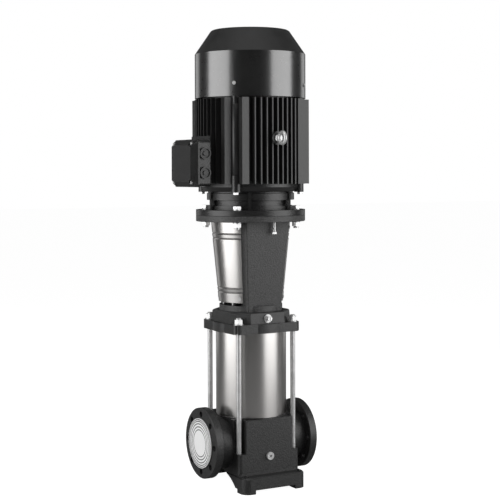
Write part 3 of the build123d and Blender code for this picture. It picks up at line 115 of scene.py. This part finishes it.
def noise(material, vector, scale, detail=3.0):
    node = add(material, "ShaderNodeTexNoise")
    node.inputs["Scale"].default_value = scale
    node.inputs["Detail"].default_value = detail
    link(material, vector, node.inputs["Vector"])
    return node.outputs["Fac"]


def ramp(material, factor, low, high, low_at=0.35, high_at=0.65):
    """Blends two colours by a factor."""
    node = add(material, "ShaderNodeValToRGB")
    node.color_ramp.elements[0].position = low_at
    node.color_ramp.elements[1].position = high_at
    node.color_ramp.elements[0].color = (*low, 1)
    node.color_ramp.elements[1].color = (*high, 1)
    link(material, factor, node.inputs["Fac"])
    return node.outputs["Color"]


def spread(material, factor, low, high):
    """A factor mapped to a range of values."""
    node = add(material, "ShaderNodeMapRange")
    node.inputs["From Min"].default_value = 0.3
    node.inputs["From Max"].default_value = 0.7
    node.inputs["To Min"].default_value = low
    node.inputs["To Max"].default_value = high
    link(material, factor, node.inputs["Value"])
    return node.outputs["Result"]


def bump(material, shader, height, strength, distance):
    node = add(material, "ShaderNodeBump")
    node.inputs["Strength"].default_value = strength
    node.inputs["Distance"].default_value = distance
    link(material, height, node.inputs["Height"])
    link(material, node.outputs["Normal"], shader.inputs["Normal"])


def wander_roughness(material, shader, factor, roughness, down, up):
    """Lets the roughness wander a little below and above its value."""
    link(material, spread(material, factor, roughness - down, roughness + up), shader.inputs["Roughness"])


# ---- Materials ---------------------------------------------------------------------------------
GRAIN_STRENGTH = 0.6
COAT_ROUGHNESS = 0.20
COAT_IOR = 1.8
BRUSH_DEPTH = 0.0004


def painted_casting(name, dark, light, roughness, grain, depth):
    """Paint over sand-cast iron: a fine speckled grain."""
    material, shader = new_material(name, dark, 0.0, roughness)
    vector = stretched_coordinates(material, (1, 1, 1))
    fine = noise(material, vector, grain, 4)
    link(material, ramp(material, fine, dark, light), shader.inputs["Base Color"])
    wander_roughness(material, shader, fine, roughness, 0.07, 0.07)
    bump(material, shader, fine, GRAIN_STRENGTH, depth)
    return material


def gloss_paint(name, dark, light, roughness):
    """Smooth enamel under a clear coat, with very slight changes of tone."""
    material, shader = new_material(name, dark, 0.0, roughness)
    vector = stretched_coordinates(material, (1, 1, 1))
    link(material, ramp(material, noise(material, vector, 12), dark, light), shader.inputs["Base Color"])
    wander_roughness(material, shader, noise(material, vector, 60), roughness, 0.03, 0.04)
    shader.inputs["Coat Weight"].default_value = 1.0
    shader.inputs["Coat Roughness"].default_value = COAT_ROUGHNESS
    shader.inputs["Coat IOR"].default_value = COAT_IOR
    return material


def brushed(name, dark, light, roughness, scale, strength=0.06, wander=0.05):
    """Bright metal with brush lines along one direction."""
    material, shader = new_material(name, light, 1.0, roughness)
    lines = noise(material, stretched_coordinates(material, scale), 40, 2)
    link(material, ramp(material, lines, dark, light, 0.3, 0.7), shader.inputs["Base Color"])
    wander_roughness(material, shader, lines, roughness, wander, wander)
    if strength:
        bump(material, shader, lines, strength, BRUSH_DEPTH)
    return material


def mottled(name, dark, light, roughness, metallic=0.0, scale=30):
    """A plain moulded, rubber or cast finish with slight variation."""
    material, shader = new_material(name, dark, metallic, roughness)
    vector = stretched_coordinates(material, (1, 1, 1))
    tone = noise(material, vector, scale)
    link(material, ramp(material, tone, dark, light), shader.inputs["Base Color"])
    wander_roughness(material, shader, tone, roughness, 0.05, 0.05)
    return material


def grey(value):
    return (value, value, value)


STAINLESS_DARK = (0.465, 0.455, 0.445)
STAINLESS_LIGHT = (0.475, 0.465, 0.455)
SLOT_MATERIALS = {
    "black_cast": painted_casting("black casting", grey(0.009), grey(0.026), 0.42, 260, 0.0014),
    "charcoal_cast": painted_casting("charcoal casting", grey(0.018), grey(0.054), 0.50, 260, 0.0018),
    "motor_paint": painted_casting("motor paint", grey(0.008), grey(0.014), 0.34, 380, 0.0006),
    "cowl_paint": gloss_paint("cowl enamel", grey(0.004), grey(0.007), 0.30),
    "stainless": brushed("stainless", STAINLESS_DARK, STAINLESS_LIGHT, 0.29, (3, 3, 0.4), 0.0, 0.006),
    "bright_steel": mottled("plated steel", grey(0.50), grey(0.60), 0.34, 0.6, 60),
    "dark_steel": brushed("plain steel", grey(0.16), grey(0.26), 0.38, (20, 20, 1)),
    "bronze": mottled("bronze", (0.42, 0.25, 0.10), (0.56, 0.36, 0.16), 0.35, 1.0),
    "lamination": brushed("laminations", grey(0.18), grey(0.30), 0.45, (1, 1, 200)),
    "copper": mottled("copper wire", (0.42, 0.16, 0.06), (0.60, 0.27, 0.12), 0.42, 0.6, 90),
    "rubber": mottled("rubber", grey(0.014), grey(0.022), 0.75),
    "black_plastic": mottled("black plastic", grey(0.020), grey(0.030), 0.45),
    "board_plastic": mottled("board plastic", (0.10, 0.08, 0.06), (0.14, 0.11, 0.09), 0.55),
    "white_cover": mottled("white cover", grey(0.80), grey(0.86), 0.42, 0.0, 20),
}

COVER_WHITE = grey(0.88)
COVER_GREY = grey(0.10)
COVER_RINGS = (0.52, 0.64, 0.76, 0.86, 0.93)  # inner edges, as shares of the cover's radius
COVER_RING_WIDTH = 0.042


def radius_share(material):
    """How far a point of the suction cover lies from the pipe's axis, as a share of the cover's radius."""
    low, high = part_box("suction_port_cover")
    place = add(material, "ShaderNodeTexCoord")
    split = add(material, "ShaderNodeSeparateXYZ")
    link(material, place.outputs["Object"], split.inputs["Vector"])
    level = add(material, "ShaderNodeMath", operation="SUBTRACT")
    link(material, split.outputs["Z"], level.inputs[0])
    level.inputs[1].default_value = (low[2] + high[2]) / 2
    flat = add(material, "ShaderNodeCombineXYZ")
    link(material, split.outputs["Y"], flat.inputs["X"])
    link(material, level.outputs["Value"], flat.inputs["Y"])
    radius = add(material, "ShaderNodeVectorMath", operation="LENGTH")
    link(material, flat.outputs["Vector"], radius.inputs[0])
    share = add(material, "ShaderNodeMath", operation="DIVIDE")
    link(material, radius.outputs["Value"], share.inputs[0])
    share.inputs[1].default_value = (high[1] - low[1]) / 2
    return share.outputs["Value"]


def ringed_cover():
    """The white cover's finish: plain grey rings round the pipe axis."""
    material, shader = new_material("ringed white cover", grey(0.84), 0.0, 0.42)
    rings = add(material, "ShaderNodeValToRGB")
    rings.color_ramp.interpolation = "CONSTANT"
    stops = rings.color_ramp.elements
    stops[0].position, stops[0].color = 0.0, (*COVER_WHITE, 1)
    stops[1].position, stops[1].color = COVER_RINGS[0], (*COVER_GREY, 1)
    for position in COVER_RINGS[1:]:
        stops.new(position).color = (*COVER_GREY, 1)
    for position in COVER_RINGS:
        stops.new(position + COVER_RING_WIDTH).color = (*COVER_WHITE, 1)
    link(material, radius_share(material), rings.inputs["Fac"])
    link(material, rings.outputs["Color"], shader.inputs["Base Color"])
    return material


def dress_nodes():
    """Gives every CAD node its slot's finish, and the suction cover its rings."""
    for part in frame["record"]["subparts"]:
        node = NODES[part["node"]]
        node.data.materials.clear()
        node.data.materials.append(SLOT_MATERIALS[part["material_slot"]])
    NODES["suction_port_cover"].data.materials[0] = ringed_cover()


def matte_cone():
    """Makes the coned top of the fan cover matte, where its skirt is glossy."""
    cover = NODES["fan_cover"]
    cover.data.materials.append(mottled("matte cone", grey(0.006), grey(0.010), 0.62))
    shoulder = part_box("fan_cover")[1][2] - CONE_HEIGHT
    for face in cover.data.polygons:
        if face.center.z > shoulder:
            face.material_index = 1


# ---- Small forms the solids leave out ----------------------------------------------------------
def upright_bar(name, x, y, bottom, top):
    """A round upright bar with softened ends, as cast between two bolt bosses."""
    steps = [(BAR_RADIUS - BAR_ROUNDING, bottom), (BAR_RADIUS, bottom + BAR_ROUNDING),
             (BAR_RADIUS, top - BAR_ROUNDING), (BAR_RADIUS - BAR_ROUNDING, top)]
    build = bmesh.new()
    profile = [build.verts.new((x + radius, y, z)) for radius, z in steps]
    edges = [build.edges.new(pair) for pair in zip(profile, profile[1:])]
    bmesh.ops.spin(
        build, geom=profile + edges, cent=(x, y, 0), axis=(0, 0, 1), angle=math.tau, steps=BAR_SIDES
    )
    bmesh.ops.remove_doubles(build, verts=build.verts, dist=WELD)
    bmesh.ops.holes_fill(build, edges=build.edges, sides=BAR_SIDES)
    bmesh.ops.recalc_face_normals(build, faces=build.faces)
    mesh = bpy.data.meshes.new(name)
    build.to_mesh(mesh)
    build.free()
    bar = bpy.data.objects.new(name, mesh)
    bpy.context.collection.objects.link(bar)
    mesh.materials.append(SLOT_MATERIALS["motor_paint"])
    for face in mesh.polygons:
        face.use_smooth = len(face.vertices) == 4
    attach(bar, "pump_body")


def make_corner_bars():
    """The bar that joins the bolt bosses at each corner of the motor frame."""
    for k in range(4):
        turn = math.radians(45 + 90 * k)
        x, y = BAR_CENTRE * math.cos(turn), BAR_CENTRE * math.sin(turn)
        upright_bar("corner_bar_%d" % (k + 1), x, y, BAR_BOTTOM, BAR_TOP)


# ---- Studio ------------------------------------------------------------------------------------
def seen_directly(holder):
    """One where a camera or glass ray looks, and zero where light is gathered."""
    path = add(holder, "ShaderNodeLightPath")
    most = add(holder, "ShaderNodeMath", operation="MAXIMUM")
    link(holder, path.outputs["Is Camera Ray"], most.inputs[0])
    link(holder, path.outputs["Is Transmission Ray"], most.inputs[1])
    return most.outputs["Value"]


def floor_finish():
    """Matt and plain, with a glow that only a direct look sees, so that it looks evenly white."""
    material, shader = new_material("floor", grey(0.28), 0.0, 0.9)
    darker, paler = (grey(shade) for shade in FLOOR_SHADES)
    tone = noise(material, stretched_coordinates(material, (1, 1, 1)), 0.3)
    link(material, ramp(material, tone, darker, paler), shader.inputs["Base Color"])
    glow = add(material, "ShaderNodeEmission")
    level = add(material, "ShaderNodeMath", operation="MULTIPLY")
    link(material, seen_directly(material), level.inputs[0])
    level.inputs[1].default_value = FLOOR_GLOW
    link(material, level.outputs["Value"], glow.inputs["Strength"])
    both = add(material, "ShaderNodeAddShader")
    link(material, shader.outputs["BSDF"], both.inputs[0])
    link(material, glow.outputs["Emission"], both.inputs[1])
    surface = material.node_tree.nodes["Material Output"].inputs["Surface"]
    link(material, both.outputs["Shader"], surface)
    return material


def make_floor():
    """A plain white floor that keeps the pump's shadow."""
    half = FLOOR_HALF
    corners = [(-half, -half, 0), (half, -half, 0), (half, half, 0), (-half, half, 0)]
    mesh = bpy.data.meshes.new("floor")
    mesh.from_pydata(corners, [], [(0, 1, 2, 3)])
    mesh.materials.append(floor_finish())
    floor = bpy.data.objects.new("floor", mesh)
    bpy.context.collection.objects.link(floor)


def make_world():
    """A surround that looks white and lights dimly."""
    world = bpy.data.worlds.new("studio")
    bpy.context.scene.world = world
    world.use_nodes = True
    background = world.node_tree.nodes["Background"]
    background.inputs["Color"].default_value = (1, 1, 1, 1)
    level = add(world, "ShaderNodeMapRange")
    level.inputs["To Min"].default_value = ROOM_LEVEL
    level.inputs["To Max"].default_value = 1.0
    link(world, seen_directly(world), level.inputs["Value"])
    link(world, level.outputs["Result"], background.inputs["Strength"])


def area_light(name, position, target, size, power):
    """A rectangular lamp that points at a target."""
    data = bpy.data.lights.new(name, "AREA")
    data.shape = "RECTANGLE"
    data.size, data.size_y = size
    data.energy = power
    lamp = bpy.data.objects.new(name, data)
    bpy.context.collection.objects.link(lamp)
    lamp.location = position
    lamp.rotation_euler = (Vector(target) - Vector(position)).to_track_quat("-Z", "Y").to_euler()
    return lamp


def around_pump(angle, distance, height):
    """A point at an angle from the camera's side of the pump, in degrees anticlockwise from above."""
    turn = math.radians(CAMERA_AZIMUTH - 90 + angle)
    return (distance * math.cos(turn), distance * math.sin(turn), height)


def make_lights():
    """Tall soft boxes to the left and right, one overhead, a weak fill in front and two weak ones behind."""
    for name, angle, distance, height, face, watts in LAMPS:
        lamp = area_light(name, around_pump(angle, distance, height), AIM, face, watts)
        lamp.visible_glossy = name not in UNREFLECTED


def make_camera():
    data = bpy.data.cameras.new("camera")
    data.lens = LENS
    data.sensor_width = SENSOR
    data.shift_x = SHIFT_X
    data.shift_y = SHIFT_Y
    camera = bpy.data.objects.new("camera", data)
    bpy.context.collection.objects.link(camera)
    turn = math.radians(CAMERA_AZIMUTH)
    camera.location = (
        CAMERA_DISTANCE * math.sin(turn), -CAMERA_DISTANCE * math.cos(turn), CAMERA_HEIGHT
    )
    camera.rotation_mode = "XYZ"
    camera.rotation_euler = (math.radians(90), math.radians(CAMERA_ROLL), turn)
    bpy.context.scene.camera = camera


bpy.context.scene.view_settings.view_transform = "Standard"
dress_nodes()
matte_cone()
make_corner_bars()
make_floor()
make_world()
make_lights()
make_camera()
